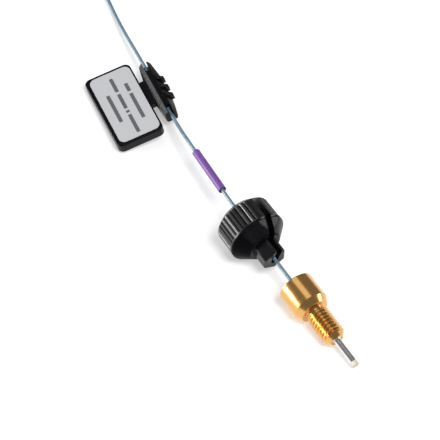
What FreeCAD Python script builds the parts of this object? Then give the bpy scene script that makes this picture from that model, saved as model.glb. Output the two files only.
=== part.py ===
import FreeCAD, Part
import math
import os

# Finger-tight capillary for liquid chromatography, all sizes in millimetres.
# A thin sheathed tube joins two like fittings. Each fitting is a steel tip sleeve with a sealing ring,
# a brass screw that turns on it, and a slotted finger knob whose hexagon nose drives the screw.
# A small clip with a label plate turns on the tube. The length beyond the near end is a tied coil.
# +Z is up, +X runs along the near fitting towards its tip, and the part lies on z = 0.

# Tube
tube_d = 0.8
core_d = 0.36
core_bore_d = 0.15
bond_gap = 0.02
cut_margin = 1.0
join_depth = 0.5

# Tip sleeve and sealing ring, lengths run back from the tip end
seal_len = 0.9
sleeve_d = 1.4
sleeve_root_d = 1.9
sleeve_tip_chamfer = 0.12
seal_chamfer = 0.08
collar_d = 2.6
collar_len = 2.0
pocket_depth = 1.5
collar_chamfer = 0.2

# Screw
screw_stand_off = 6.65
thread_d = 4.826
thread_taper_len = 1.2
thread_end_d = 2.9
thread_len = 6.3
neck_d = 3.9
neck_len = 1.5
head_d = 7.5
head_len = 7.0
head_front_to_pocket = 0.1
head_front_chamfer_len = 1.4
head_front_chamfer = 0.8
head_rear_chamfer = 0.15
sleeve_clearance = 0.1
collar_clearance = 0.15
collar_seat_gap = 0.05
socket_depth = 3.6
socket_flat_clearance = 0.06

# Finger knob
nose_flats = 4.85
nose_len = 3.3
nose_chamfer = 0.25
knob_face_d = 6.9
knob_cone_len = 2.65
knob_rim_d = 12.2
knob_rim_len = 0.6
knurl_front_d = 12.0
knurl_rear_d = 11.7
knurl_len = 4.6
knurl_count = 36
knurl_depth = 0.32
knurl_crest_share = 0.5
knob_back_d = 9.0
knob_back_len = 1.2
knob_bore_d = 1.8
rear_recess_d = 6.2
rear_recess_depth = 0.6
slot_width = 1.5
slot_angle = 67.0
slot_flat_depth = 0.35
hexagon_angle = 93.5
near_knob_back = 7.45
far_knob_back = -3.15

# Colour sleeve on the tube behind the near knob
size_sleeve_d = 1.7
size_sleeve_bore_d = 1.25
size_sleeve_len = 12.4
size_sleeve_from_corner = -0.95

# Label plate and clip, in the tag's own axes: along the tube, sideways from it and up from the plate
plate_len = 21.4
plate_width = 10.5
plate_thick = 1.9
plate_corner_r = 1.4
plate_edge = 0.25
plate_from_tube = 8.05
plate_shift = 0.6
label_from_tube = 7.8
label_len = 20.0
label_width = 9.2
label_corner_r = 1.4
label_thick = 0.15
label_recess = 0.1
clip_rear = -7.7
clip_front = 8.1
clip_width = 3.8
clip_end_width = 2.6
clip_end_round = 0.5
clip_waist_len = 7.4
clip_top = 1.45
clip_bottom = 1.55
clip_top_width = 1.2
clip_bottom_width = 2.2
clip_side_top = 0.15
clip_side_bottom = -0.45
clip_bore_d = 1.1
clip_closed_rear = -5.2
clip_closed_front = 6.0
clip_from_rear_corner = 11.4
rib_count = 3
rib_middle = 0.45
rib_pitch = 2.65
rib_len = 1.15
rib_reach = 0.55
rib_height = 0.25
seam_width = 0.16
seam_depth = 0.35
neck_len_along = 7.3
neck_thick = 1.1
rest_gap = 0.02

# Coil of the length beyond the near end, held by two ties
coil_x = -85.96
coil_y = 6.42
coil_inner_r = 5.3
coil_outer_r = 8.6
coil_height = 3.0
coil_corner = 0.7
tie_thick = 0.3
tie_width_angle = 15.0
tie_gap = 0.03
tie_angles = (10.0, 215.0)
tie_lock_width = 2.2
tie_lock_height = 1.3
tie_tail_width = 1.5
tie_tail_height = 1.2
tie_tail_thick = 0.45

# Route of the tube from the near tip sleeve to the coil, chosen by hand
near_route = [
    (32.69, -0.18, 3.60),
    (4.51, -0.18, 7.09),
    (-2.44, 0.60, 6.85),
    (-16.56, 2.32, 6.00),
    (-24.56, 3.97, 4.15),
    (-46.16, 8.17, 3.40),
    (-57.16, 10.42, 1.90),
    (-67.56, 13.22, 0.80),
    (-74.96, 14.59, 0.75),
    (-85.96, 14.54, 0.75),
]
size_sleeve_run = 2
tag_run = 4
arc_share = 0.45

# Route of the tube from the far tip sleeve to the coil, chosen by hand
far_route = [
    (-117.86, 11.17, 3.86),
    (-99.46, 11.17, 7.97),
    (-95.76, 11.52, 7.55),
    (-92.36, 12.77, 4.70),
    (-89.36, 14.14, 3.05),
    (-85.96, 14.14, 2.93),
]


def vec(point):
    return FreeCAD.Vector(*point)


def save(shape, node):
    shape.exportStep("parts/" + node + ".step")
    print(node, len(shape.Solids), "solid", round(shape.Volume, 3), "mm3")


def axes_along(origin, ahead):
    """Placement at origin whose local X points along ahead and whose local Z is as near up as it can be."""
    x_axis = vec(ahead).normalize()
    y_axis = FreeCAD.Vector(0, 0, 1).cross(x_axis).normalize()
    z_axis = x_axis.cross(y_axis)
    matrix = FreeCAD.Matrix(
        x_axis.x, y_axis.x, z_axis.x, origin[0],
        x_axis.y, y_axis.y, z_axis.y, origin[1],
        x_axis.z, y_axis.z, z_axis.z, origin[2],
        0, 0, 0, 1,
    )
    return FreeCAD.Placement(matrix)


def placed(shape, placement):
    moved = shape.copy()
    moved.Placement = placement.multiply(shape.Placement)
    return moved


def turned(profile):
    """Solid turned about local X from (x, radius) corners."""
    points = [FreeCAD.Vector(x, 0, r) for x, r in profile]
    face = Part.Face(Part.makePolygon(points + [points[0]]))
    return face.revolve(FreeCAD.Vector(0, 0, 0), FreeCAD.Vector(1, 0, 0), 360)


def hole(x_from, x_to, diameter):
    length = x_to - x_from
    return Part.makeCylinder(diameter / 2, length, FreeCAD.Vector(x_from, 0, 0), FreeCAD.Vector(1, 0, 0))


def section_prism(points, x_from, x_to):
    """Solid from (y, z) corners, carried along local X."""
    corners = [FreeCAD.Vector(x_from, y, z) for y, z in points]
    face = Part.Face(Part.makePolygon(corners + [corners[0]]))
    return face.extrude(FreeCAD.Vector(x_to - x_from, 0, 0))


def hexagon_prism(flats, x_from, x_to):
    radius = flats / 2 / math.cos(math.pi / 6)
    corners = []
    for k in range(6):
        angle = math.radians(hexagon_angle + 60 * k)
        corners.append((radius * math.cos(angle), radius * math.sin(angle)))
    return section_prism(corners, x_from, x_to)


# Stations along a fitting, measured back from the pocket floor where the tube's sheath ends
tip_x = screw_stand_off + thread_len + neck_len + head_front_to_pocket
seal_back_x = tip_x - seal_len
thread_front_x = tip_x - screw_stand_off
neck_front_x = thread_front_x - thread_len
head_front_x = neck_front_x - neck_len
head_rear_x = head_front_x - head_len
collar_front_x = collar_len - pocket_depth
collar_rear_x = -pocket_depth
counterbore_front_x = collar_front_x + collar_seat_gap
socket_floor_x = head_rear_x + socket_depth


def tip_sleeve():
    r = sleeve_d / 2
    body = turned([
        (seal_back_x, 0),
        (seal_back_x, r - sleeve_tip_chamfer),
        (seal_back_x - sleeve_tip_chamfer, r),
        (thread_front_x, r),
        (thread_front_x, sleeve_root_d / 2),
        (collar_front_x, sleeve_root_d / 2),
        (collar_front_x, collar_d / 2 - collar_chamfer),
        (collar_front_x - collar_chamfer, collar_d / 2),
        (collar_rear_x, collar_d / 2),
        (collar_rear_x, 0),
    ])
    body = body.cut(hole(0, seal_back_x + cut_margin, core_d + 2 * bond_gap))
    return body.cut(hole(collar_rear_x - cut_margin, 0, tube_d + 2 * bond_gap))


def seal_ring():
    r = sleeve_d / 2
    bore_r = core_d / 2 + bond_gap
    return turned([
        (seal_back_x, bore_r),
        (tip_x, bore_r),
        (tip_x, r - seal_chamfer),
        (tip_x - seal_chamfer, r),
        (seal_back_x + seal_chamfer, r),
        (seal_back_x, r - seal_chamfer),
    ])


def core():
    return turned([
        (0, core_bore_d / 2),
        (tip_x, core_bore_d / 2),
        (tip_x, core_d / 2),
        (0, core_d / 2),
    ])


def screw():
    head_r = head_d / 2
    body = turned([
        (thread_front_x, 0),
        (thread_front_x, thread_end_d / 2),
        (thread_front_x - thread_taper_len, thread_d / 2),
        (neck_front_x, thread_d / 2),
        (neck_front_x, neck_d / 2),
        (head_front_x, neck_d / 2),
        (head_front_x, head_r - head_front_chamfer),
        (head_front_x - head_front_chamfer_len, head_r),
        (head_rear_x + head_rear_chamfer, head_r),
        (head_rear_x, head_r - head_rear_chamfer),
        (head_rear_x, 0),
    ])
    body = body.cut(hole(head_rear_x, thread_front_x + cut_margin, sleeve_root_d + 2 * sleeve_clearance))
    body = body.cut(hole(head_rear_x, counterbore_front_x, collar_d + 2 * collar_clearance))
    socket = hexagon_prism(nose_flats + 2 * socket_flat_clearance, head_rear_x - cut_margin, socket_floor_x)
    return body.cut(socket)


def polygon_wire(x, polar):
    """Closed wire at x through (angle, radius) corners about local X."""
    corners = [FreeCAD.Vector(x, r * math.cos(angle), r * math.sin(angle)) for angle, r in polar]
    return Part.makePolygon(corners + [corners[0]])


def knurl_wire(x, crest_d):
    """Outline of the straight knurl: flat crests with a V groove between each two."""
    pitch = 2 * math.pi / knurl_count
    crest = pitch * knurl_crest_share
    crest_r = crest_d / 2
    polar = []
    for k in range(knurl_count):
        start = k * pitch - crest / 2
        polar.append((start, crest_r))
        polar.append((start + crest, crest_r))
        polar.append((start + (crest + pitch) / 2, crest_r - knurl_depth))
    return polygon_wire(x, polar)


def crest_polygon(x, diameter):
    """Outline with one flat side over each crest, at this distance across flats."""
    pitch = 2 * math.pi / knurl_count
    corner_r = diameter / 2 / math.cos(pitch / 2)
    return polygon_wire(x, [((k + 0.5) * pitch, corner_r) for k in range(knurl_count)])


def knob(back):
    """Knob with its nose's front face this far behind the screw's rear face."""
    nose_x = head_rear_x - back
    face_x = nose_x - nose_len
    rim_x = face_x - knob_cone_len
    knurl_x = rim_x - knob_rim_len
    rear_x = knurl_x - knurl_len - knob_back_len
    shoulder_x = rear_x + knob_back_len
    rim_r = knob_rim_d / 2
    root_r = knurl_front_d / 2 - knurl_depth
    front = turned([
        (knurl_x - join_depth, 0),
        (knurl_x - join_depth, root_r - join_depth),
        (knurl_x, rim_r),
        (rim_x, rim_r),
        (face_x, knob_face_d / 2),
        (face_x, 0),
    ])
    grip = Part.makeLoft([
        knurl_wire(rear_x, knurl_rear_d),
        knurl_wire(knurl_x, knurl_front_d),
    ], True, True)
    back_cone = Part.makeLoft([
        crest_polygon(rear_x, knob_back_d),
        crest_polygon(shoulder_x, knurl_rear_d + 2 * bond_gap),
        crest_polygon(knurl_x, knurl_front_d + 2 * bond_gap),
    ], True, True)
    nose_corner_r = nose_flats / 2 / math.cos(math.pi / 6)
    nose_limit = turned([
        (face_x - join_depth, 0),
        (face_x - join_depth, nose_corner_r + nose_chamfer),
        (nose_x - nose_chamfer, nose_corner_r),
        (nose_x, nose_corner_r - nose_chamfer),
        (nose_x, 0),
    ])
    nose = hexagon_prism(nose_flats, face_x - join_depth, nose_x).common(nose_limit)
    body = grip.common(back_cone).fuse([front, nose])
    body = body.cut(hole(rear_x - cut_margin, nose_x + cut_margin, knob_bore_d))
    body = body.cut(hole(rear_x - cut_margin, rear_x + rear_recess_depth, rear_recess_d))
    slot = Part.makeBox(
        nose_x - rear_x + 2 * cut_margin, knob_rim_d, slot_width,
        FreeCAD.Vector(rear_x - cut_margin, 0, -slot_width / 2),
    )
    flat_from = rim_x - slot_flat_depth
    flat = Part.Face(Part.makePolygon([
        FreeCAD.Vector(flat_from, rim_r, -rim_r),
        FreeCAD.Vector(flat_from + rim_r, 0, -rim_r),
        FreeCAD.Vector(flat_from + rim_r, rim_r + cut_margin, -rim_r),
        FreeCAD.Vector(flat_from, rim_r + cut_margin, -rim_r),
        FreeCAD.Vector(flat_from, rim_r, -rim_r),
    ])).extrude(FreeCAD.Vector(0, 0, knob_rim_d))
    face_guard = Part.makeBox(
        nose_x - face_x + cut_margin, knob_rim_d, knob_rim_d, FreeCAD.Vector(face_x, -rim_r, -rim_r)
    )
    flat = flat.cut(face_guard)
    for cutter in (slot, flat):
        cutter.rotate(FreeCAD.Vector(0, 0, 0), FreeCAD.Vector(1, 0, 0), slot_angle)
        body = body.cut(cutter)
    return body.removeSplitter()


def tube_along(route):
    """Tube whose path is straight runs joined by tangent arcs, each as large as its two runs allow."""
    points = [vec(p) for p in route]
    edges = []
    start = points[0]
    for before, corner, after in zip(points, points[1:], points[2:]):
        back = (before - corner).normalize()
        ahead = (after - corner).normalize()
        half_turn = (math.pi - back.getAngle(ahead)) / 2
        reach = arc_share * min((corner - before).Length, (after - corner).Length)
        radius = reach / math.tan(half_turn)
        arc_start = corner + back * reach
        arc_end = corner + ahead * reach
        middle = (back + ahead).normalize()
        arc_middle = corner + middle * (radius / math.cos(half_turn) - radius)
        edges.append(Part.LineSegment(start, arc_start).toShape())
        edges.append(Part.Arc(arc_start, arc_middle, arc_end).toShape())
        start = arc_end
        print("radius", round(radius, 1), "turn", round(math.degrees(2 * half_turn), 1))
    edges.append(Part.LineSegment(start, points[-1]).toShape())
    path = Part.Wire(edges)
    length = sum(edge.Length for edge in edges)
    direction = points[1] - points[0]
    end_circle = Part.Wire(Part.Circle(points[0], direction, tube_d / 2).toShape())
    solid = path.makePipeShell([end_circle], True, False)
    share = solid.Volume / (length * math.pi * tube_d ** 2 / 4)
    print("path", round(length, 2), "mm, volume over section times length", round(share, 4))
    return solid


coil_low = tie_thick + tie_gap + rest_gap
coil_axis = FreeCAD.Vector(0, 0, 1)
coil_centre = FreeCAD.Vector(coil_x, coil_y, 0)


def ring_section(grow):
    """Section of the coil, a rectangle with cut corners, grown outwards by a wall."""
    r_in = coil_inner_r - grow
    r_out = coil_outer_r + grow
    low = coil_low - grow
    high = coil_low + coil_height + grow
    corner = coil_corner + grow * (2 - math.sqrt(2))
    outline = [
        (r_in + corner, low), (r_out - corner, low), (r_out, low + corner), (r_out, high - corner),
        (r_out - corner, high), (r_in + corner, high), (r_in, high - corner), (r_in, low + corner),
    ]
    corners = [FreeCAD.Vector(r, 0, z) for r, z in outline]
    return Part.Face(Part.makePolygon(corners + [corners[0]]))


def coil():
    ring = ring_section(0).revolve(FreeCAD.Vector(0, 0, 0), coil_axis, 360)
    ring.translate(coil_centre)
    return ring


def tie(angle):
    """Strap round the coil's section, with its lock and the cut end of the strap on the outer side."""
    outer = ring_section(tie_gap + tie_thick).revolve(FreeCAD.Vector(0, 0, 0), coil_axis, tie_width_angle)
    inner = ring_section(tie_gap).revolve(FreeCAD.Vector(0, 0, 0), coil_axis, 360)
    strap = outer.cut(inner)
    strap.rotate(FreeCAD.Vector(0, 0, 0), coil_axis, -tie_width_angle / 2)
    strap_middle_r = coil_outer_r + tie_gap + tie_thick / 2
    lock_low = coil_low + (coil_height - tie_lock_height) / 2
    lock = Part.makeBox(
        tie_lock_height, tie_lock_width, tie_lock_height,
        FreeCAD.Vector(strap_middle_r, -tie_lock_width / 2, lock_low),
    )
    tail = Part.makeBox(
        tie_tail_thick, tie_tail_width, tie_tail_height,
        FreeCAD.Vector(strap_middle_r + tie_lock_height / 2, -tie_tail_width / 2, lock_low + tie_lock_height),
    )
    body = strap.fuse([lock, tail]).removeSplitter()
    body.rotate(FreeCAD.Vector(0, 0, 0), coil_axis, angle)
    body.translate(coil_centre)
    return body


def rounded_plate(length, width, thick, corner, centre_x, centre_y, low):
    box = Part.makeBox(
        length, width, thick, FreeCAD.Vector(centre_x - length / 2, centre_y - width / 2, low)
    )
    upright = [e for e in box.Edges if abs(e.Vertexes[0].Z - e.Vertexes[1].Z) > thick / 2]
    return box.makeFillet(corner, upright)


def tag_clip():
    waist = clip_waist_len / 2
    wide = clip_width / 2
    narrow = clip_end_width / 2
    outline = [
        (clip_rear, -narrow), (-waist, -wide), (waist, -wide), (clip_front, -narrow),
        (clip_front, narrow), (waist, wide), (-waist, wide), (clip_rear, narrow),
    ]
    corners = [FreeCAD.Vector(x, y, -clip_bottom) for x, y in outline]
    canoe = Part.Face(Part.makePolygon(corners + [corners[0]]))
    canoe = canoe.extrude(FreeCAD.Vector(0, 0, clip_bottom + clip_top))
    at_ends = [
        e for e in canoe.Edges
        if abs(e.Vertexes[0].X - e.Vertexes[1].X) < 1e-6 and abs(e.Vertexes[0].Y - e.Vertexes[1].Y) < 1e-6
        and abs(e.Vertexes[0].X) > waist + 1e-6
    ]
    canoe = canoe.makeFillet(clip_end_round, at_ends)
    section = [
        (-clip_bottom_width / 2, -clip_bottom),
        (clip_bottom_width / 2, -clip_bottom),
        (wide, clip_side_bottom),
        (wide, clip_side_top),
        (clip_top_width / 2, clip_top),
        (-clip_top_width / 2, clip_top),
        (-wide, clip_side_top),
        (-wide, clip_side_bottom),
    ]
    body = canoe.common(section_prism(section, clip_rear, clip_front))
    plate = rounded_plate(
        plate_len, plate_width, plate_thick, plate_corner_r, plate_shift, -plate_from_tube, -plate_thick / 2
    )
    rims = [
        e for e in plate.Edges
        if all(abs(v.Z - plate_thick / 2) < 1e-6 for v in e.Vertexes)
    ]
    plate = plate.makeFillet(plate_edge, rims)
    recess = rounded_plate(
        label_len + 2 * bond_gap, label_width + 2 * bond_gap, label_recess + cut_margin,
        label_corner_r + bond_gap,
        plate_shift, -label_from_tube, plate_thick / 2 - label_recess,
    )
    plate = plate.cut(recess)
    neck_from = -plate_from_tube + plate_width / 2 - join_depth
    neck_to = -clip_bore_d / 2 - join_depth
    neck = Part.makeBox(
        neck_len_along, neck_to - neck_from, neck_thick,
        FreeCAD.Vector(-neck_len_along / 2, neck_from, -neck_thick / 2),
    )
    body = body.fuse([plate, neck])
    for k in range(rib_count):
        rib_x = rib_middle + (k - (rib_count - 1) / 2) * rib_pitch - rib_len / 2
        rib = section_prism([
            (clip_top_width / 2, clip_side_top),
            (clip_top_width / 2, clip_top + rib_height),
            (clip_top_width / 2 + rib_height, clip_top + rib_height),
            (wide + rib_reach, clip_side_top + rib_height),
            (wide + rib_reach, clip_side_bottom),
            (wide, clip_side_bottom),
        ], rib_x, rib_x + rib_len)
        body = body.fuse(rib)
    closed_len = clip_closed_front - clip_closed_rear
    seam = Part.makeBox(
        closed_len, seam_width, clip_top,
        FreeCAD.Vector(clip_closed_rear, -seam_width / 2, clip_top - seam_depth),
    )
    body = body.cut(seam)
    body = body.cut(hole(clip_rear - cut_margin, clip_front + cut_margin, clip_bore_d))
    mouth_half = clip_bore_d / 2
    mouth_top = clip_top + cut_margin
    mouth = [(-mouth_half, 0), (mouth_half, 0), (mouth_half, mouth_top), (-mouth_half, mouth_top)]
    body = body.cut(section_prism(mouth, clip_closed_front, clip_front + cut_margin))
    body = body.cut(section_prism(mouth, clip_rear - cut_margin, clip_closed_rear))
    return body.removeSplitter()


def tag_label():
    return rounded_plate(
        label_len, label_width, label_thick, label_corner_r,
        plate_shift, -label_from_tube, plate_thick / 2 - label_recess,
    )


def tag_placement():
    """Place of the clip on its run of tube, tilted until the plate's outer rear edge rests on the surface."""
    front = vec(near_route[tag_run])
    rear = vec(near_route[tag_run + 1])
    along = (front - rear).normalize()
    centre = rear + along * clip_from_rear_corner
    level = axes_along(tuple(centre), tuple(along))
    outer = plate_from_tube + plate_width / 2
    half_thick = plate_thick / 2
    drop = centre.z - (plate_len / 2 - plate_shift) * along.z - rest_gap
    tilt = math.asin(drop / math.hypot(outer, half_thick)) - math.atan2(half_thick, outer)
    turn = FreeCAD.Rotation(FreeCAD.Vector(1, 0, 0), math.degrees(tilt))
    roll = FreeCAD.Placement(FreeCAD.Vector(0, 0, 0), turn)
    print("tag tilt", round(math.degrees(tilt), 2), "centre", [round(c, 3) for c in centre], "axis", along)
    return level.multiply(roll)


def size_sleeve_placement():
    front = vec(near_route[size_sleeve_run])
    rear = vec(near_route[size_sleeve_run + 1])
    back = (rear - front).normalize()
    start = front + back * size_sleeve_from_corner
    print("size sleeve axis", back, "from", start)
    return axes_along(tuple(start), tuple(back))


def size_sleeve():
    return turned([
        (0, size_sleeve_bore_d / 2),
        (size_sleeve_len, size_sleeve_bore_d / 2),
        (size_sleeve_len, size_sleeve_d / 2),
        (0, size_sleeve_d / 2),
    ])


def fitting(end, route, knob_back):
    origin = vec(route[0])
    ahead = origin - vec(route[1])
    place = axes_along(tuple(origin), tuple(ahead))
    save(placed(tip_sleeve(), place), end + "_tip_sleeve")
    save(placed(seal_ring(), place), end + "_seal_ring")
    save(placed(core(), place), end + "_core")
    save(placed(screw(), place), end + "_screw")
    save(placed(knob(knob_back), place), end + "_knob")
    axis = ahead.normalize()
    print(end, "axis", axis)
    for name, x in (("tip", tip_x), ("thread front", thread_front_x), ("neck front", neck_front_x)):
        print(end, name, origin + axis * x)


os.makedirs("parts", exist_ok=True)
fitting("near", near_route, near_knob_back)
save(placed(size_sleeve(), size_sleeve_placement()), "size_sleeve")
tag_place = tag_placement()
save(placed(tag_clip(), tag_place), "tag_clip")
save(placed(tag_label(), tag_place), "tag_label")
save(tube_along(near_route), "capillary_run")
save(coil(), "capillary_coil")
for number, tie_angle in enumerate(tie_angles, 1):
    save(tie(tie_angle), "coil_tie_" + str(number))
save(tube_along(far_route), "capillary_tail")
fitting("far", far_route, far_knob_back)
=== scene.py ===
import math

import bmesh
import bpy
import numpy as np
from mathutils import Matrix


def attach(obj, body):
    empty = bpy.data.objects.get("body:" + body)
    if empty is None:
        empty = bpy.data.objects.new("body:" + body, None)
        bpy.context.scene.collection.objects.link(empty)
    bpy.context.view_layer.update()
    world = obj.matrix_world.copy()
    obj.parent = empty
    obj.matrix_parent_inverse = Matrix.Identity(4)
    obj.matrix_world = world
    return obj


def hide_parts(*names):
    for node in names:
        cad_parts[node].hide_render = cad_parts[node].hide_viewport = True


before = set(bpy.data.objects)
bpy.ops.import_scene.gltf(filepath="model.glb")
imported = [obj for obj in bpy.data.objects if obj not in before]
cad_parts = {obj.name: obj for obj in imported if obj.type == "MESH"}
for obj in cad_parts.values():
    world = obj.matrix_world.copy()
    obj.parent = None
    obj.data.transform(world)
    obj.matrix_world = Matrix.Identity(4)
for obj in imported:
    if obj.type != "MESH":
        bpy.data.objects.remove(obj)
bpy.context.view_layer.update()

# Camera
# A long lens looks down at the tip from its right, as in the photograph, with the tube running away to the
# upper left. The place is in metres in the part's frame, the angles are in degrees.
VIEW_AZIMUTH = 56.875
VIEW_ELEVATION = 49.021
CAMERA_PLACE = (0.293623, -0.192693, 0.403665)
FIELD_OF_VIEW = 9.633

azimuth = math.radians(VIEW_AZIMUTH)
elevation = math.radians(VIEW_ELEVATION)
view_right = np.array([math.cos(azimuth), math.sin(azimuth), 0.0])
view_level = np.array([-math.sin(azimuth), math.cos(azimuth), 0.0])
view_ahead = view_level * math.cos(elevation) - np.array([0.0, 0.0, math.sin(elevation)])
view_up = np.cross(view_right, view_ahead)
lens = bpy.data.cameras.new("camera")
lens.sensor_width = 36.0
lens.lens = lens.sensor_width / 2 / math.tan(math.radians(FIELD_OF_VIEW) / 2)
lens.clip_start = 0.01
lens.clip_end = 20.0
camera = bpy.data.objects.new("camera", lens)
turn = np.eye(4)
turn[:3, 0], turn[:3, 1], turn[:3, 2], turn[:3, 3] = view_right, view_up, -view_ahead, CAMERA_PLACE
camera.matrix_world = Matrix(turn.tolist())
bpy.context.scene.collection.objects.link(camera)
bpy.context.scene.camera = camera
bpy.context.scene.view_settings.view_transform = "Standard"

# Capillary tube
# One drawn length of blue-grey sheathed tube, 0.8 mm across, from the pocket of the near tip sleeve to that
# of the far one. It is straight in both fittings and in the clip, and its spare length is wound into a tied
# coil of 13 close turns.
TUBE_DIAMETER = 0.0008
NEAR_ROUTE = [
    (0.03269, -0.00018, 0.00360),
    (0.00451, -0.00018, 0.00709),
    (-0.00244, 0.00060, 0.00685),
    (-0.01656, 0.00232, 0.00600),
    (-0.02456, 0.00397, 0.00415),
    (-0.04616, 0.00817, 0.00340),
    (-0.05716, 0.01042, 0.00190),
    (-0.06756, 0.01322, 0.00080),
    (-0.07496, 0.01459, 0.00075),
    (-0.08596, 0.01454, 0.00075),
]
# One more point, on the straight run from this corner, keeps the curve in the middle of the clip's bore.
CLIP_CORNER = 4
CLIP_POINT = (-0.03278, 0.00557, 0.00386)
FAR_ROUTE = [
    (-0.11786, 0.01117, 0.00386),
    (-0.09946, 0.01117, 0.00797),
    (-0.09576, 0.01152, 0.00755),
    (-0.09236, 0.01277, 0.00470),
    (-0.08936, 0.01414, 0.00305),
    (-0.08596, 0.01414, 0.00293),
]
COIL_CENTRE = (-0.08596, 0.00642)
COIL_LOW = 0.00075
COIL_ROW_RISE = 0.000733
# The radius of each winding, row by row from the table up.
COIL_ROWS = (
    (0.00812, 0.00732, 0.00652, 0.00572),
    (0.00612, 0.00692, 0.00772),
    (0.00812, 0.00732, 0.00652, 0.00572),
    (0.00612, 0.00692, 0.00772),
)
COIL_START = 90.0
COIL_SWEEP = 4680.0
COIL_STEP = 15.0
COIL_SHIFT = 18.0


def coil_points():
    """Points down the middle of the wound tube. The angle grows steadily, so the coil runs anticlockwise from
    above. A winding is a turn less the shift. It keeps its own radius and height, and over its last degrees,
    the shift, it slides on to the next one's, so each slide lies a shift back from the one before."""
    stations = [(r, COIL_LOW + row * COIL_ROW_RISE) for row, radii in enumerate(COIL_ROWS) for r in radii]
    radii, heights = np.array(stations + [stations[-1]]).T
    swept = np.arange(COIL_STEP, COIL_SWEEP, COIL_STEP)
    winding = 360.0 - COIL_SHIFT
    along = swept / winding
    number = np.floor(along).astype(int)
    left = (1.0 - (along - number)) * winding
    slide = np.clip(1.0 - left / COIL_SHIFT, 0.0, 1.0)
    r = radii[number] * (1 - slide) + radii[number + 1] * slide
    z = heights[number] * (1 - slide) + heights[number + 1] * slide
    angle = np.radians(COIL_START + swept)
    x = COIL_CENTRE[0] + r * np.cos(angle)
    y = COIL_CENTRE[1] + r * np.sin(angle)
    return np.stack([x, y, z], axis=1).tolist()


def plastic(name, colour, roughness, coat=0.0):
    """A new material with its shader, for the section to add detail to: (material, node tree, shader)."""
    material = bpy.data.materials.new(name)
    material.use_nodes = True
    tree = material.node_tree
    shader = tree.nodes["Principled BSDF"]
    shader.inputs["Base Color"].default_value = (*colour, 1.0)
    shader.inputs["Roughness"].default_value = roughness
    shader.inputs["Coat Weight"].default_value = coat
    return material, tree, shader


def noise(tree, scale, detail=2.0, stretch=None, source="Object"):
    """Noise read in object coordinates or UV, stretched along axes where stretch says so."""
    place = tree.nodes.new("ShaderNodeTexCoord")
    grain = tree.nodes.new("ShaderNodeTexNoise")
    grain.inputs["Scale"].default_value = scale
    grain.inputs["Detail"].default_value = detail
    if stretch is None:
        tree.links.new(place.outputs[source], grain.inputs["Vector"])
    else:
        mapping = tree.nodes.new("ShaderNodeMapping")
        mapping.inputs["Scale"].default_value = stretch
        tree.links.new(place.outputs[source], mapping.inputs["Vector"])
        tree.links.new(mapping.outputs["Vector"], grain.inputs["Vector"])
    return grain


def ramp(tree, source, stops):
    """Colour ramp over a 0 to 1 value, from (place, colour) stops. A colour of one number is a grey."""
    node = tree.nodes.new("ShaderNodeValToRGB")
    elements = node.color_ramp.elements
    while len(elements) < len(stops):
        elements.new(0.5)
    for element, (place, colour) in zip(elements, stops):
        element.position = place
        element.color = (*colour, 1.0) if len(colour) == 3 else (colour[0],) * 3 + (1.0,)
    tree.links.new(source, node.inputs["Fac"])
    return node


def bump(tree, shader, height, strength, distance):
    """Fine relief of this depth in metres on the shader."""
    node = tree.nodes.new("ShaderNodeBump")
    node.inputs["Strength"].default_value = strength
    node.inputs["Distance"].default_value = distance
    tree.links.new(height, node.inputs["Height"])
    tree.links.new(node.outputs["Normal"], shader.inputs["Normal"])


def mottle(tree, shader, scale, detail, dark, light, low=0.3, high=0.7):
    """Noise that tints the shader from the dark colour to the light one. Gives the noise's value."""
    value = noise(tree, scale, detail).outputs["Fac"]
    tint = ramp(tree, value, [(low, dark), (high, light)])
    tree.links.new(tint.outputs["Color"], shader.inputs["Base Color"])
    return value


sheath, tree, shader = plastic("sheath", (0.135, 0.225, 0.300), roughness=0.25, coat=1.0)
shader.inputs["Coat Roughness"].default_value = 0.28
drawn = mottle(tree, shader, 900.0, 3.0, dark=(0.115, 0.200, 0.270), light=(0.155, 0.250, 0.330))
bump(tree, shader, drawn, strength=0.15, distance=0.00001)

near_points = NEAR_ROUTE[:CLIP_CORNER + 1] + [CLIP_POINT] + NEAR_ROUTE[CLIP_CORNER + 1:]
route = near_points + coil_points() + FAR_ROUTE[::-1]
line = bpy.data.curves.new("capillary_tube", "CURVE")
line.dimensions = "3D"
line.bevel_depth = TUBE_DIAMETER / 2
line.bevel_resolution = 6
line.use_fill_caps = True
line.resolution_u = 12
spline = line.splines.new("NURBS")
spline.points.add(len(route) - 1)
for point, place in zip(spline.points, route):
    point.co = (*place, 1.0)
spline.order_u = 3
spline.use_endpoint_u = True
tube = bpy.data.objects.new("capillary_tube", line)
bpy.context.scene.collection.objects.link(tube)
line.materials.append(sheath)
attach(tube, "capillary")
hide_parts("capillary_run", "capillary_coil", "capillary_tail")

# Floor and studio
# A white sheet under the part. The main lamp is above it on the camera's side, low lamps at the left and the
# right light the metal and the knob's ribs, and a weak one stands high at the back. The sheet glows for the
# camera and for reflections only, so that it looks plain white and keeps the part's soft shadow.
FLOOR_SIZE = 3.0
FLOOR_DROP = 0.00002
FLOOR_COLOUR = 0.80
FLOOR_GLOW = 0.36
ROOM_LIGHT = 0.22
STUDIO_CENTRE = np.array([-0.002, 0.0, 0.004])

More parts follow.
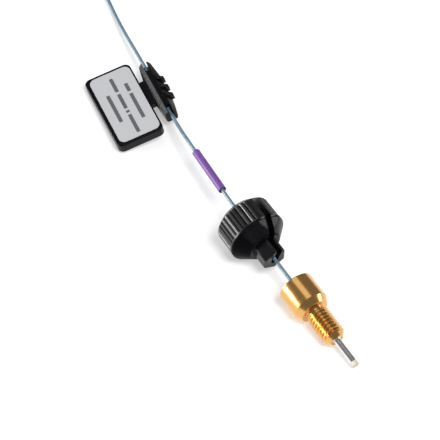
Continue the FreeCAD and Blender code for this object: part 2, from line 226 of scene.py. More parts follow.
sheet = bpy.data.meshes.new("floor")
half = FLOOR_SIZE / 2
corners = [(x, y, -FLOOR_DROP) for x, y in ((-half, -half), (half, -half), (half, half), (-half, half))]
sheet.from_pydata(corners, [], [(0, 1, 2, 3)])
floor = bpy.data.objects.new("floor", sheet)
bpy.context.scene.collection.objects.link(floor)
floor_paint = bpy.data.materials.new("floor_paint")
floor_paint.use_nodes = True
tree = floor_paint.node_tree
tree.nodes.clear()
diffuse = tree.nodes.new("ShaderNodeBsdfDiffuse")
diffuse.inputs["Color"].default_value = (FLOOR_COLOUR, FLOOR_COLOUR, FLOOR_COLOUR, 1.0)
glow = tree.nodes.new("ShaderNodeEmission")
path = tree.nodes.new("ShaderNodeLightPath")
seen = tree.nodes.new("ShaderNodeMath")
seen.operation = "MAXIMUM"
seen_through = tree.nodes.new("ShaderNodeMath")
seen_through.operation = "MAXIMUM"
level = tree.nodes.new("ShaderNodeMath")
level.operation = "MULTIPLY"
level.inputs[1].default_value = FLOOR_GLOW
together = tree.nodes.new("ShaderNodeAddShader")
output = tree.nodes.new("ShaderNodeOutputMaterial")
tree.links.new(path.outputs["Is Camera Ray"], seen.inputs[0])
tree.links.new(path.outputs["Is Glossy Ray"], seen.inputs[1])
tree.links.new(seen.outputs[0], seen_through.inputs[0])
tree.links.new(path.outputs["Is Transmission Ray"], seen_through.inputs[1])
tree.links.new(seen_through.outputs[0], level.inputs[0])
tree.links.new(level.outputs[0], glow.inputs["Strength"])
tree.links.new(diffuse.outputs[0], together.inputs[0])
tree.links.new(glow.outputs[0], together.inputs[1])
tree.links.new(together.outputs[0], output.inputs["Surface"])
sheet.materials.append(floor_paint)


def softbox(name, right, back, up, width, height, power):
    """Area lamp at a place given in the camera's right, level ahead and up, turned to the part."""
    place = STUDIO_CENTRE + right * view_right + back * view_level + np.array([0.0, 0.0, up])
    lamp = bpy.data.lights.new(name, "AREA")
    lamp.shape = "RECTANGLE"
    lamp.size, lamp.size_y, lamp.energy = width, height, power
    away = place - STUDIO_CENTRE
    away = away / np.linalg.norm(away)
    side = np.cross([0.0, 0.0, 1.0], away)
    side = side / np.linalg.norm(side)
    turn = np.eye(4)
    turn[:3, 0], turn[:3, 1], turn[:3, 2], turn[:3, 3] = side, np.cross(away, side), away, place
    box = bpy.data.objects.new(name, lamp)
    box.matrix_world = Matrix(turn.tolist())
    bpy.context.scene.collection.objects.link(box)
    return box


main = softbox("main_lamp", right=0.24, back=-0.40, up=0.80, width=0.32, height=0.32, power=5.5)
main.visible_glossy = False
softbox("left_lamp", right=-0.86, back=0.09, up=0.122, width=0.56, height=0.24, power=7.0)
softbox("right_lamp", right=0.84, back=0.15, up=0.27, width=0.34, height=0.26, power=1.7)
softbox("top_lamp", right=-0.16, back=0.23, up=0.87, width=0.48, height=0.44, power=0.62)
world = bpy.data.worlds.new("studio")
bpy.context.scene.world = world
world.use_nodes = True
room = world.node_tree.nodes["Background"]
room.inputs["Color"].default_value = (1.0, 1.0, 1.0, 1.0)
room.inputs["Strength"].default_value = ROOM_LIGHT

# Tip sleeve
# A turned and polished steel sleeve crimped over the end of the tube. Its front part, 1.4 mm across, goes
# into the port, and the screw presses on the collar at its back.
# The sizes of turned pieces are in millimetres. Along a fitting, 0 is the tube's end and the tip is ahead.
MM = 0.001
TUBE_END_TO_TIP = 14.55
SEAL_LENGTH = 0.9
SCREW_STAND_OFF = 6.65
THREAD_FRONT = TUBE_END_TO_TIP - SCREW_STAND_OFF
SLEEVE_RADIUS = 0.7
SLEEVE_ROOT_RADIUS = 0.95
COLLAR_RADIUS = 1.3
COLLAR_FRONT = 0.5
COLLAR_REAR = -1.5
CORE_HOLE_RADIUS = 0.2
TUBE_HOLE_RADIUS = 0.42
# Tool lines are this much darker than the metal, and its roughness varies between these shares of its own.
LINE_SHADE = 0.93
LINE_ROUGHEST = 1.35
LINE_SMOOTHEST = 0.8


def fitting_axes(route):
    """Place of a fitting: its origin at the tube's end, x ahead to the tip and z as near up as can be."""
    origin = np.array(route[0])
    x = origin - np.array(route[1])
    x = x / np.linalg.norm(x)
    y = np.cross([0.0, 0.0, 1.0], x)
    y = y / np.linalg.norm(y)
    return origin, np.array([x, y, np.cross(x, y)])


FITTINGS = {"near": fitting_axes(NEAR_ROUTE), "far": fitting_axes(FAR_ROUTE)}


def softened(corners, steps=3):
    """The (x, radius, softening) corners of a turned profile, each eased by an arc that starts and ends that
    far from the corner. A corner with no softening stays sharp."""
    points = np.array([c[:2] for c in corners], float)
    found = []
    for k, (x, r, soft) in enumerate(corners):
        corner = points[k]
        back = points[k - 1] - corner
        ahead = points[(k + 1) % len(points)] - corner
        if soft == 0:
            found.append(corner)
            continue
        a = corner + back / np.linalg.norm(back) * soft
        b = corner + ahead / np.linalg.norm(ahead) * soft
        for t in np.linspace(0.0, 1.0, steps + 1):
            found.append((1 - t) ** 2 * a + 2 * t * (1 - t) * corner + t ** 2 * b)
    return np.array(found)


def piece(name, points, faces, uv, material, sharp=35.0):
    """A finished mesh object at the origin, in metres, smooth but for edges above the sharp angle."""
    mesh = bpy.data.meshes.new(name)
    mesh.from_pydata(points.tolist(), [], faces.tolist())
    layer = mesh.uv_layers.new(name="UVMap")
    layer.uv.foreach_set("vector", uv.astype(np.float32).ravel())
    mesh.polygons.foreach_set("use_smooth", np.ones(len(mesh.polygons), bool))
    mesh.set_sharp_from_angle(angle=math.radians(sharp))
    mesh.materials.append(material)
    mesh.update()
    made = bpy.data.objects.new(name, mesh)
    bpy.context.scene.collection.objects.link(made)
    return made


def turned(name, place, x, radius, material, sharp=35.0):
    """A ring-shaped body. Row i of radius is the outline at x[i], as a radius for each evenly spaced angle.
    The rows run once round the section, outside forwards and inside back, and the last joins the first."""
    rows, around = radius.shape
    angle = np.linspace(0.0, 2 * math.pi, around, endpoint=False)
    local = np.stack([
        np.repeat(x[:, None], around, axis=1),
        radius * np.cos(angle),
        radius * np.sin(angle),
    ], axis=2).reshape(-1, 3) * MM
    i, j = np.meshgrid(np.arange(rows), np.arange(around), indexing="ij")
    ni, nj = (i + 1) % rows, (j + 1) % around
    faces = np.stack([i * around + j, i * around + nj, ni * around + nj, ni * around + j], axis=2)
    faces = faces.reshape(-1, 4)
    mean = radius.mean(axis=1)
    along = np.concatenate([[0.0], np.cumsum(np.hypot(np.diff(x), np.diff(mean)))])
    ends = np.concatenate([along, [along[-1]]])
    u0, u1 = j / around, (j + 1) / around
    v0, v1 = ends[i], ends[i + 1]
    uv = np.stack([u0, v0, u1, v0, u1, v1, u0, v1], axis=2).reshape(-1, 2)
    origin, axes = place
    return piece(name, origin + local @ axes, faces, uv, material, sharp)


def ring(name, place, corners, around, material, steps=3):
    """A body turned from the softened corners of its section."""
    profile = softened(corners, steps)
    return turned(name, place, profile[:, 0], np.repeat(profile[:, 1:], around, axis=1), material)


def metal(name, colour, roughness, ring_scale, ring_depth, coat=0.0):
    """Turned metal. Fine tool lines run round the axis, read from the UV map, whose v is millimetres along
    the outline."""
    material, tree, shader = plastic(name, colour, roughness, coat)
    shader.inputs["Metallic"].default_value = 1.0
    shader.inputs["Coat IOR"].default_value = 1.8
    shader.inputs["Coat Roughness"].default_value = 0.12
    lines = noise(tree, scale=1.0, detail=4.0, stretch=(0.6, ring_scale, 1.0), source="UV")
    dark = tuple(c * LINE_SHADE for c in colour)
    tint = ramp(tree, lines.outputs["Fac"], [(0.3, dark), (0.65, colour)])
    tree.links.new(tint.outputs["Color"], shader.inputs["Base Color"])
    polish_stops = [(0.3, (roughness * LINE_ROUGHEST,)), (0.7, (roughness * LINE_SMOOTHEST,))]
    polish = ramp(tree, lines.outputs["Fac"], polish_stops)
    tree.links.new(polish.outputs["Color"], shader.inputs["Roughness"])
    bump(tree, shader, lines.outputs["Fac"], strength=0.25, distance=ring_depth)
    return material


steel = metal("steel", (0.82, 0.82, 0.80), roughness=0.14, ring_scale=12.0, ring_depth=0.000001)
for end, place in FITTINGS.items():
    sleeve = ring(end + "_sleeve", place, [
        (COLLAR_REAR, TUBE_HOLE_RADIUS, 0.03),
        (COLLAR_REAR, COLLAR_RADIUS, 0.12),
        (COLLAR_FRONT, COLLAR_RADIUS, 0.15),
        (COLLAR_FRONT, SLEEVE_ROOT_RADIUS, 0.05),
        (THREAD_FRONT, SLEEVE_ROOT_RADIUS, 0.05),
        (THREAD_FRONT, SLEEVE_RADIUS, 0.03),
        (TUBE_END_TO_TIP - SEAL_LENGTH, SLEEVE_RADIUS, 0.10),
        (TUBE_END_TO_TIP - SEAL_LENGTH, CORE_HOLE_RADIUS, 0.0),
        (0.0, CORE_HOLE_RADIUS, 0.0),
        (0.0, TUBE_HOLE_RADIUS, 0.0),
    ], around=72, material=steel)
    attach(sleeve, "capillary")
    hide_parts(end + "_tip_sleeve")

# Seal and core
# A cream polymer ring is pressed on in front of the sleeve and seals on the bottom of the port. The bare
# inner capillary runs through both and ends flush with the ring's face.
CORE_RADIUS = 0.18
CORE_BORE_RADIUS = 0.075
seal_polymer, tree, shader = plastic("seal", (0.72, 0.66, 0.50), roughness=0.38)
mottle(tree, shader, 2600.0, 2.0, dark=(0.66, 0.60, 0.44), light=(0.78, 0.72, 0.57))
bare_core = metal("core", (0.55, 0.55, 0.56), roughness=0.2, ring_scale=10.0, ring_depth=0.000002)
for end, place in FITTINGS.items():
    seal = ring(end + "_seal", place, [
        (TUBE_END_TO_TIP - SEAL_LENGTH, CORE_HOLE_RADIUS, 0.0),
        (TUBE_END_TO_TIP - SEAL_LENGTH, SLEEVE_RADIUS, 0.08),
        (TUBE_END_TO_TIP, SLEEVE_RADIUS, 0.16),
        (TUBE_END_TO_TIP, CORE_HOLE_RADIUS, 0.02),
    ], around=64, material=seal_polymer, steps=4)
    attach(seal, "capillary")
    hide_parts(end + "_seal_ring")
    core = ring(end + "_inner", place, [
        (0.0, CORE_BORE_RADIUS, 0.0),
        (0.0, CORE_RADIUS, 0.0),
        (TUBE_END_TO_TIP, CORE_RADIUS, 0.02),
        (TUBE_END_TO_TIP, CORE_BORE_RADIUS, 0.015),
    ], around=32, material=bare_core, steps=2)
    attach(core, "capillary")
    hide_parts(end + "_core")

# Screw
# Gold-coloured brass, turned in one piece: a plain round head with a wide front chamfer, a short neck and a
# 10-32 thread that tapers off at its front. A hexagon socket in the back of the head takes the knob's nose.
THREAD_PITCH = 0.79375
THREAD_RADIUS = 2.413
THREAD_DEPTH = 0.487
THREAD_CREST = 0.16
THREAD_ROOT = 0.84
THREAD_REAR = 0.8
THREAD_RUNOUT = 0.35 * THREAD_PITCH
THREAD_TAPER = 1.2
THREAD_END_RADIUS = 1.45
NECK_RADIUS = 1.95
HEAD_FRONT = 0.1
HEAD_REAR = -6.9
HEAD_RADIUS = 3.75
HEAD_CHAMFER_LENGTH = 1.4
HEAD_CHAMFER = 0.8
SOCKET_FLOOR = -3.3
SOCKET_FLATS = 4.97
SOCKET_RIM = 0.3
SOCKET_CHAMFER = 0.12
SOCKET_CHAMFER_LENGTH = 0.15
SLEEVE_CLEARANCE = 0.1
COLLAR_CLEARANCE = 0.15
COLLAR_SEAT_GAP = 0.05
HEXAGON_ANGLE = 93.5
SCREW_AROUND = 180
THREAD_STEPS = 22  # rows of the mesh to each pitch


def hexagon(angle, flats, corner):
    """Radius of a hexagon at each angle, in degrees, with its corners cut back to the corner radius."""
    off = np.radians(np.mod(angle - HEXAGON_ANGLE, 60.0) - 30.0)
    return np.minimum(flats / 2 / np.cos(off), corner)


def thread(x, angle):
    """Radius over the thread at x and an angle: flat crests, sloping flanks and narrow roots that climb one
    pitch a turn. They stay under a cone at the front and run out into the neck at the back."""
    phase = np.mod(x[:, None] / THREAD_PITCH - angle[None] / (2 * math.pi), 1.0)
    off = np.abs(phase - 0.5) * 2
    height = np.clip((THREAD_ROOT - off) / (THREAD_ROOT - THREAD_CREST), 0.0, 1.0)
    runout = np.clip((x[:, None] - THREAD_REAR) / THREAD_RUNOUT, 0.0, 1.0)
    taper = np.clip((x[:, None] - (THREAD_FRONT - THREAD_TAPER)) / THREAD_TAPER, 0.0, 1.0)
    limit = THREAD_RADIUS - (THREAD_RADIUS - THREAD_END_RADIUS) * taper
    root = THREAD_RADIUS - THREAD_DEPTH
    return np.minimum(root + THREAD_DEPTH * height * runout, limit)


brass = metal("brass", (0.79, 0.43, 0.115), roughness=0.225, ring_scale=9.0, ring_depth=0.0000008, coat=0.4)
angle = np.linspace(0.0, 2 * math.pi, SCREW_AROUND, endpoint=False)
head = softened([
    (HEAD_REAR, SOCKET_FLATS / 2 + SOCKET_RIM, 0.0),
    (HEAD_REAR, HEAD_RADIUS, 0.15),
    (HEAD_FRONT - HEAD_CHAMFER_LENGTH, HEAD_RADIUS, 0.08),
    (HEAD_FRONT, HEAD_RADIUS - HEAD_CHAMFER, 0.08),
    (HEAD_FRONT, NECK_RADIUS, 0.10),
    (THREAD_REAR, NECK_RADIUS, 0.0),
], steps=4)
thread_rows = int((THREAD_FRONT - THREAD_REAR) / THREAD_PITCH * THREAD_STEPS)
thread_x = np.linspace(THREAD_REAR, THREAD_FRONT, thread_rows)
bore = np.array([
    (THREAD_FRONT, SLEEVE_ROOT_RADIUS + SLEEVE_CLEARANCE),
    (COLLAR_FRONT + COLLAR_SEAT_GAP, SLEEVE_ROOT_RADIUS + SLEEVE_CLEARANCE),
    (COLLAR_FRONT + COLLAR_SEAT_GAP, COLLAR_RADIUS + COLLAR_CLEARANCE),
    (SOCKET_FLOOR, COLLAR_RADIUS + COLLAR_CLEARANCE),
])
socket_x = [SOCKET_FLOOR, HEAD_REAR + SOCKET_CHAMFER_LENGTH, HEAD_REAR]
screw_x = np.concatenate([head[:, 0], thread_x, bore[:, 0], socket_x])
socket = hexagon(np.degrees(angle), SOCKET_FLATS, SOCKET_FLATS)
screw_radius = np.concatenate([
    np.repeat(head[:, 1:], SCREW_AROUND, axis=1),
    thread(thread_x, angle),
    np.repeat(bore[:, 1:], SCREW_AROUND, axis=1),
    socket[None], socket[None], socket[None] + SOCKET_CHAMFER,
])
for end, place in FITTINGS.items():
    screw = turned(end + "_brass_screw", place, screw_x, screw_radius, brass, sharp=32.0)
    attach(screw, end + "_screw")
    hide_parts(end + "_screw")

# Finger knob
# One moulding in black plastic, slotted along its whole length so that it slips on to the tube from the side.
# It has a straight-knurled grip, a smooth rim, a cone with a flat beside the slot, and a hexagon nose.
NOSE_FLATS = 4.80
NOSE_CORNER = 2.72
NOSE_MIDDLE_RADIUS = 2.52
NOSE_LENGTH = 3.5
# Rows at the nose's end: how far each is back from it, off the hexagon and off the bore.
NOSE_END = ((0.28, 0.0, 0.0), (0.20, 0.03, 0.0), (0.03, 0.20, 0.0), (0.0, 0.26, 0.08))
CONE_LENGTH = 2.65
CONE_ROWS = 9
CONE_FACE_RADIUS = 3.45
CONE_FACE_EDGE = 0.06
RIM_RADIUS = 6.15
RIM_LENGTH = 0.6
RIM_EDGE = 0.08
KNURL_FRONT_RADIUS = 6.05
KNURL_REAR_RADIUS = 5.97
KNURL_LENGTH = 5.0
KNURL_DEPTH = 0.32
KNURL_COUNT = 36
KNURL_ROWS = 6
KNURL_LEAD = 0.5
KNURL_END = 0.02
# Shares of the pitch from the middle of a crest: half the crest, the flank beside it, and the points drawn.
KNURL_CREST = 0.21
KNURL_FLANK = 0.29
KNURL_POINTS = (-0.26, -0.19, 0.19, 0.26, 0.5)
BACK_RADIUS = 4.5
BACK_LENGTH = 1.2
BACK_ROWS = 7
KNOB_BORE_RADIUS = 0.9
RECESS_RADIUS = 3.1
RECESS_DEPTH = 0.6
RECESS_STEP = 0.001
SLOT_WIDTH = 1.5
SLOT_ANGLE = 67.0
SLOT_MARGIN = 1.0
SLOT_FLAT = 0.75
SLOT_FLAT_SLOPE = 0.60
SLOT_FLAT_COSINE = 0.5
KNOB_GAP = {"near": 7.25, "far": -3.35}
EDGE = 0.10
# Rows at the rim's front: how far each is back from the cone, and off the rim.
RIM_FRONT = ((SLOT_FLAT, 0.0), (EDGE, 0.01), (0.0, 0.04))


def knurl(angle):
    """Share of the groove depth at each angle in degrees: none over the crests, all at the groove's root."""
    pitch = 360.0 / KNURL_COUNT
    off = np.abs(np.mod(angle / pitch + 0.5, 1.0) - 0.5)
    return np.clip((off - KNURL_CREST) / KNURL_FLANK, 0.0, 1.0)


def knob_angles():
    """Angles from one wall of the slot round to the other, in degrees from the slot: five to each ridge."""
    pitch = 360.0 / KNURL_COUNT
    ridges = (np.arange(KNURL_COUNT)[:, None] + np.array(KNURL_POINTS)[None]).ravel() * pitch
    ridges = np.sort(np.mod(ridges - SLOT_ANGLE, 360.0))
    wall = math.degrees(math.asin(SLOT_WIDTH / 2 / RIM_RADIUS))
    return ridges[(ridges > wall + SLOT_MARGIN) & (ridges < 360.0 - wall - SLOT_MARGIN)]


def drawn_in(angle, radius):
    """The angles of a row of this middle radius, drawn in to leave room for the slot."""
    half = SLOT_WIDTH / 2
    wall = math.degrees(math.asin(half / float(np.median(radius))))
    wall_at_rim = math.degrees(math.asin(half / RIM_RADIUS))
    return 180.0 + (angle - 180.0) * (180.0 - wall) / (180.0 - wall_at_rim)


def slotted(angle, radius):
    """The outline of one row, along the slot and across it, which starts and ends on the slot's walls."""
    half = SLOT_WIDTH / 2
    turn = np.radians(drawn_in(angle, radius))
    along = radius * np.cos(turn)
    across = radius * np.sin(turn)
    first, last = radius[0], radius[-1]
    along = np.concatenate([[math.sqrt(first ** 2 - half ** 2)], along, [math.sqrt(last ** 2 - half ** 2)]])
    across = np.concatenate([[half], across, [-half]])
    return along, across


def knob_rows(gap):
    """The knob's rows from back to front, each as (x, outer radius for each angle, inner radius)."""
    angle = knob_angles()
    flat = np.ones_like(angle)
    groove = knurl(angle + SLOT_ANGLE)
    nose = HEAD_REAR - gap
    face = nose - NOSE_LENGTH
    rim = face - CONE_LENGTH
    grip = rim - RIM_LENGTH
    shoulder = grip - KNURL_LENGTH
    back = shoulder - BACK_LENGTH
    recess = back + RECESS_DEPTH
    rows = [(back, (BACK_RADIUS - EDGE) * flat, RECESS_RADIUS)]
    rows.append((back + EDGE / 2, BACK_RADIUS * flat, RECESS_RADIUS - EDGE / 2))
    slope = (KNURL_REAR_RADIUS - BACK_RADIUS) / BACK_LENGTH

    def gripped(x):
        """The ribs, which taper a little towards the back."""
        crest = KNURL_REAR_RADIUS + (KNURL_FRONT_RADIUS - KNURL_REAR_RADIUS) * (x - back) / (grip - back)
        return crest - KNURL_DEPTH * groove

    def backed(x):
        """The back's cone, under which the ribs run out."""
        return np.minimum(gripped(x), BACK_RADIUS + slope * (x - back))

    for x, inner in ((recess - RECESS_STEP, RECESS_RADIUS), (recess, KNOB_BORE_RADIUS)):
        rows.append((x, backed(x), inner))
    for x in np.linspace(recess + EDGE, shoulder - EDGE, BACK_ROWS):
        rows.append((x, backed(x), KNOB_BORE_RADIUS))
    rows.append((shoulder, backed(shoulder) - KNURL_END, KNOB_BORE_RADIUS))
    rows.append((shoulder + EDGE, gripped(shoulder + EDGE), KNOB_BORE_RADIUS))
    for x in np.linspace(shoulder + KNURL_LEAD, grip - KNURL_END, KNURL_ROWS):
        rows.append((x, gripped(x), KNOB_BORE_RADIUS))
    rows.append((grip, (RIM_RADIUS - RIM_EDGE) * flat, KNOB_BORE_RADIUS))
    rows.append((grip + RIM_EDGE, RIM_RADIUS * flat, KNOB_BORE_RADIUS))

    def coned(x, radius):
        """The round row at x, cut by the sloping flat that the slot runs down the middle of."""
        along = RIM_RADIUS - SLOT_FLAT - SLOT_FLAT_SLOPE * (x - rim)
        cosine = np.cos(np.radians(drawn_in(angle, radius)))
        cut = np.where(cosine > SLOT_FLAT_COSINE, along / np.maximum(cosine, SLOT_FLAT_COSINE), radius)
        return np.minimum(radius, cut)

    for short, inwards in RIM_FRONT:
        rows.append((rim - short, coned(rim - short, (RIM_RADIUS - inwards) * flat), KNOB_BORE_RADIUS))
    cone_slope = (RIM_RADIUS - CONE_FACE_RADIUS) / CONE_LENGTH
    for x in np.linspace(rim + EDGE, face - EDGE, CONE_ROWS):
        rows.append((x, coned(x, (RIM_RADIUS - cone_slope * (x - rim)) * flat), KNOB_BORE_RADIUS))
    rows.append((face, coned(face, (CONE_FACE_RADIUS - CONE_FACE_EDGE) * flat), KNOB_BORE_RADIUS))
    hexagon_row = hexagon(drawn_in(angle, NOSE_MIDDLE_RADIUS) + SLOT_ANGLE, NOSE_FLATS, NOSE_CORNER)
    rows.append((face, hexagon_row + CONE_FACE_EDGE, KNOB_BORE_RADIUS))
    rows.append((face + CONE_FACE_EDGE, hexagon_row, KNOB_BORE_RADIUS))
    for short, inwards, widened in NOSE_END:
        rows.append((nose - short, hexagon_row - inwards, KNOB_BORE_RADIUS + widened))
    return angle, rows


def knob_mesh(place, gap):
    """Points, faces and UV of the knob. Each row is one closed C, round the outside and back round the bore,
    and faces from the outside to the bore close the first and the last row."""
    angle, rows = knob_rows(gap)
    slot = math.radians(SLOT_ANGLE)
    points = []
    for x, outer, inner in rows:
        for radius, order in ((outer, 1), (np.full_like(angle, inner), -1)):
            along, across = slotted(angle, radius)
            along, across = along[::order], across[::order]
            y = along * math.cos(slot) - across * math.sin(slot)
            z = along * math.sin(slot) + across * math.cos(slot)
            points.append(np.stack([np.full_like(y, x), y, z], axis=1))
    count = len(angle) + 2
    local = np.concatenate(points) * MM
    loop = 2 * count
    i, j = np.meshgrid(np.arange(len(rows) - 1), np.arange(loop), indexing="ij")
    nj = (j + 1) % loop
    sides = np.stack([i * loop + j, i * loop + nj, (i + 1) * loop + nj, (i + 1) * loop + j], axis=2)
    k = np.arange(count - 1)
    back_cap = np.stack([k + 1, k, loop - 1 - k, loop - 2 - k], axis=1)
    last = (len(rows) - 1) * loop
    front_cap = np.stack([k, k + 1, loop - 2 - k, loop - 1 - k], axis=1) + last
    faces = np.concatenate([sides.reshape(-1, 4), back_cap, front_cap])
    origin, axes = place
    forward = (local[:, 0] / MM - rows[0][0]) / (rows[-1][0] - rows[0][0])
    uv = np.stack([np.arange(len(local)) % loop / loop, forward], axis=1)[faces.ravel()]
    return origin + local @ axes, faces, uv


def haze(tree, shader, value, low, high):
    """Roughness that goes from low to high with the noise's value."""
    level = ramp(tree, value, [(0.35, (low,)), (0.65, (high,))])
    tree.links.new(level.outputs["Color"], shader.inputs["Roughness"])


knob_plastic, tree, shader = plastic("knob_plastic", (0.003, 0.003, 0.004), roughness=0.32)
moulded = mottle(tree, shader, 2500.0, 3.0, dark=(0.002, 0.002, 0.003), light=(0.004, 0.004, 0.005))
haze(tree, shader, moulded, low=0.29, high=0.36)
bump(tree, shader, moulded, strength=0.12, distance=0.000006)
# Gloss by place. V runs from the back to the nose: the ribs shine most, the cone hardly at all, the nose less
# than the ribs. U runs round the outside from 0 to 0.5, so the flats beside the slot are at both its ends.
coordinates = tree.nodes.new("ShaderNodeTexCoord")
split = tree.nodes.new("ShaderNodeSeparateXYZ")
tree.links.new(coordinates.outputs["UV"], split.inputs["Vector"])
sheen_stops = [(0.47, (0.80,)), (0.50, (0.02,)), (0.72, (0.02,)), (0.75, (0.42,))]
sheen = ramp(tree, split.outputs["Y"], sheen_stops)
length_stops = [(0.50, (0.0,)), (0.52, (0.22,)), (0.69, (0.22,)), (0.72, (0.0,))]
width_stops = [(0.07, (1.0,)), (0.09, (0.0,)), (0.41, (0.0,)), (0.43, (1.0,))]
flat_length = ramp(tree, split.outputs["Y"], length_stops)
flat_width = ramp(tree, split.outputs["X"], width_stops)
flats = tree.nodes.new("ShaderNodeMath")
flats.operation = "MULTIPLY_ADD"
tree.links.new(flat_length.outputs["Color"], flats.inputs[0])
tree.links.new(flat_width.outputs["Color"], flats.inputs[1])
tree.links.new(sheen.outputs["Color"], flats.inputs[2])
tree.links.new(flats.outputs["Value"], shader.inputs["Specular IOR Level"])
for end, place in FITTINGS.items():
    knob = piece(end + "_finger_knob", *knob_mesh(place, KNOB_GAP[end]), knob_plastic, sharp=25.0)
    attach(knob, end + "_knob")
    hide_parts(end + "_knob")

# Colour sleeve
# A length of soft violet tubing, cut square at both ends and loose on the tube. Its colour tells the bore's
# size. It runs back from a corner of the tube's route.
COLOUR_SLEEVE_CORNER = 2
COLOUR_SLEEVE_START = -0.95
COLOUR_SLEEVE_LENGTH = 12.4
COLOUR_SLEEVE_END = COLOUR_SLEEVE_START + COLOUR_SLEEVE_LENGTH
COLOUR_SLEEVE_RADIUS = 0.85
COLOUR_SLEEVE_BORE = 0.67
violet, tree, shader = plastic("violet", (0.185, 0.075, 0.33), roughness=0.42)
milky = mottle(tree, shader, 1500.0, 2.0, dark=(0.165, 0.065, 0.30), light=(0.205, 0.085, 0.36))
bump(tree, shader, milky, strength=0.2, distance=0.00001)
front, rear = np.array(NEAR_ROUTE[COLOUR_SLEEVE_CORNER:COLOUR_SLEEVE_CORNER + 2])
sleeve_origin, sleeve_axes = fitting_axes([front, front - (rear - front)])
colour_sleeve = ring("violet_sleeve", (sleeve_origin, sleeve_axes), [
    (COLOUR_SLEEVE_START, COLOUR_SLEEVE_BORE, 0.05),
    (COLOUR_SLEEVE_START, COLOUR_SLEEVE_RADIUS, 0.06),
    (COLOUR_SLEEVE_END, COLOUR_SLEEVE_RADIUS, 0.06),
    (COLOUR_SLEEVE_END, COLOUR_SLEEVE_BORE, 0.05),
], around=64, material=violet)
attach(colour_sleeve, "size_sleeve")
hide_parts("size_sleeve")

# Tag
# A black moulded clip whose two long jaws snap over the tube, with a label plate on a short neck. It is one
# moulding, with slightly rounded edges and a satin face.
TAG_EDGE = 0.00009
JOIN_DISTANCE = 0.000001
JOIN_ANGLE = math.radians(0.6)
EDGE_ANGLE = math.radians(28.0)


def eased(node, name, width, material):
    """A copy of a moulded part's solid, its flats joined up and its edges rounded by this width in metres."""
    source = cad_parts[node]
    shape = bmesh.new()
    shape.from_mesh(source.data)
    shape.transform(source.matrix_world)
    bmesh.ops.remove_doubles(shape, verts=shape.verts, dist=JOIN_DISTANCE)
    bmesh.ops.dissolve_limit(
        shape, angle_limit=JOIN_ANGLE, verts=shape.verts, edges=shape.edges, use_dissolve_boundaries=False)
    mesh = bpy.data.meshes.new(name)
    shape.to_mesh(mesh)
    shape.free()
    mesh.materials.clear()
    mesh.materials.append(material)
    mesh.polygons.foreach_set("use_smooth", np.ones(len(mesh.polygons), bool))
    mesh.set_sharp_from_angle(angle=EDGE_ANGLE)
    made = bpy.data.objects.new(name, mesh)
    bpy.context.scene.collection.objects.link(made)
    rounding = made.modifiers.new("rounding", "BEVEL")
    rounding.width = width
    rounding.segments = 2
    rounding.limit_method = "ANGLE"
    rounding.angle_limit = EDGE_ANGLE
    rounding.harden_normals = True
    return made


tag_plastic, tree, shader = plastic("tag_plastic", (0.003, 0.003, 0.004), roughness=0.22)
shader.inputs["Specular IOR Level"].default_value = 0.22
grain = mottle(tree, shader, 1800.0, 3.0, dark=(0.002, 0.002, 0.003), light=(0.004, 0.004, 0.005))
haze(tree, shader, grain, low=0.18, high=0.27)
bump(tree, shader, grain, strength=0.12, distance=0.00001)
tag_body = eased("tag_clip", "tag_body", TAG_EDGE, tag_plastic)
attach(tag_body, "tag")
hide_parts("tag_clip")

# Label
# Light grey printed film with rounded corners, let into the plate. Plain dark bars in three rows stand for
# its print. The tag's place is worked out here from the route, so that the bars lie flat on the film.
TAG_CORNER = 4
TAG_FROM_CORNER = 11.4
PLATE_OUTER = 13.3
PLATE_THICK = 1.9
PLATE_REAR = 10.1
REST_GAP = 0.02
LABEL_TOP = PLATE_THICK / 2 + 0.05
BAR_HEIGHT = 0.80
BAR_CORNER = BAR_HEIGHT * 0.18
BAR_RISE = 0.012
BAR_END_STEPS = 6
# Each row's place across the plate, and its bars from end to end.
BAR_ROWS = (
    (-5.5, ((-4.7, -2.2), (-1.5, 6.3))),
    (-7.9, ((-7.6, -3.3), (-2.6, 2.0), (2.6, 3.3), (3.9, 9.5))),
    (-10.15, ((-3.4, 5.0),)),
)


def tag_axes():
    """The tag's place: origin on the tube, x along it, and tilted until the plate's outer edge lies on the
    table."""
    front, rear = np.array(NEAR_ROUTE[TAG_CORNER:TAG_CORNER + 2]) / MM
    x = (front - rear) / np.linalg.norm(front - rear)
    y = np.cross([0.0, 0.0, 1.0], x)
    y = y / np.linalg.norm(y)
    origin = rear + x * TAG_FROM_CORNER
    drop = origin[2] - PLATE_REAR * x[2] - REST_GAP
    reach = math.hypot(PLATE_OUTER, PLATE_THICK / 2)
    tilt = math.asin(drop / reach) - math.atan2(PLATE_THICK / 2, PLATE_OUTER)
    z = np.cross(x, y)
    return origin * MM, np.array([
        x, math.cos(tilt) * y + math.sin(tilt) * z, math.cos(tilt) * z - math.sin(tilt) * y])


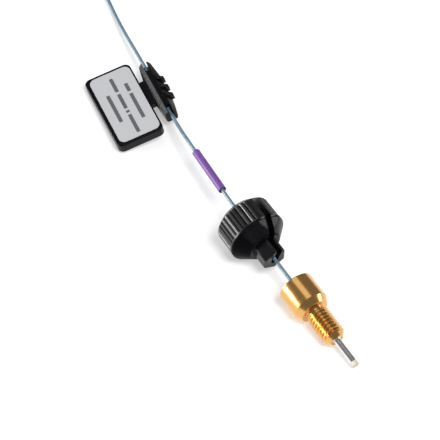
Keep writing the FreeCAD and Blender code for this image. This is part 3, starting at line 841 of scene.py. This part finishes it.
label_film, tree, shader = plastic("label_film", (0.535, 0.545, 0.56), roughness=0.45)
film = mottle(tree, shader, 4000.0, 3.0, dark=(0.515, 0.525, 0.54), light=(0.555, 0.565, 0.58))
bump(tree, shader, film, strength=0.1, distance=0.000005)
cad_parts["tag_label"].data.materials.clear()
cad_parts["tag_label"].data.materials.append(label_film)

ink, tree, shader = plastic("ink", (0.075, 0.078, 0.085), roughness=0.5)
mottle(tree, shader, 9000.0, 2.0, dark=(0.09, 0.092, 0.10), light=(0.14, 0.143, 0.15), low=0.35, high=0.65)
spans = [(y, start, end) for y, bars in BAR_ROWS for start, end in bars]
turn = np.linspace(-math.pi / 2, math.pi / 2, BAR_END_STEPS)
points, faces = [], []
for y, start, end in spans:
    right_x = end - BAR_CORNER + BAR_CORNER * np.cos(turn)
    right_y = y + np.sign(turn) * (BAR_HEIGHT / 2 - BAR_CORNER) + BAR_CORNER * np.sin(turn)
    right = np.stack([right_x, right_y])
    left = np.stack([start + end - right_x[::-1], right_y[::-1]])
    outline = np.concatenate([right, left], axis=1).T
    faces.append(list(range(len(points), len(points) + len(outline))))
    points += [(px, py, LABEL_TOP + BAR_RISE) for px, py in outline]
tag_origin, tag_turn = tag_axes()
bars = bpy.data.meshes.new("print_bars")
bars.from_pydata((tag_origin + np.array(points) * MM @ tag_turn).tolist(), [], faces)
bars.materials.append(ink)
print_bars = bpy.data.objects.new("print_bars", bars)
bpy.context.scene.collection.objects.link(print_bars)
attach(print_bars, "tag")

# Coil ties
# Two natural white plastic straps, each threaded through its own lock and cut off short, hold the spare turns
# together.
TIE_EDGE = 0.00005
nylon, tree, shader = plastic("nylon", (0.70, 0.70, 0.67), roughness=0.40)
grain = mottle(tree, shader, 2500.0, 2.0, dark=(0.66, 0.66, 0.62), light=(0.74, 0.74, 0.71))
bump(tree, shader, grain, strength=0.15, distance=0.00001)
for number in ("1", "2"):
    tie = eased("coil_tie_" + number, "tie_strap_" + number, TIE_EDGE, nylon)
    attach(tie, "capillary")
    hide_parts("coil_tie_" + number)
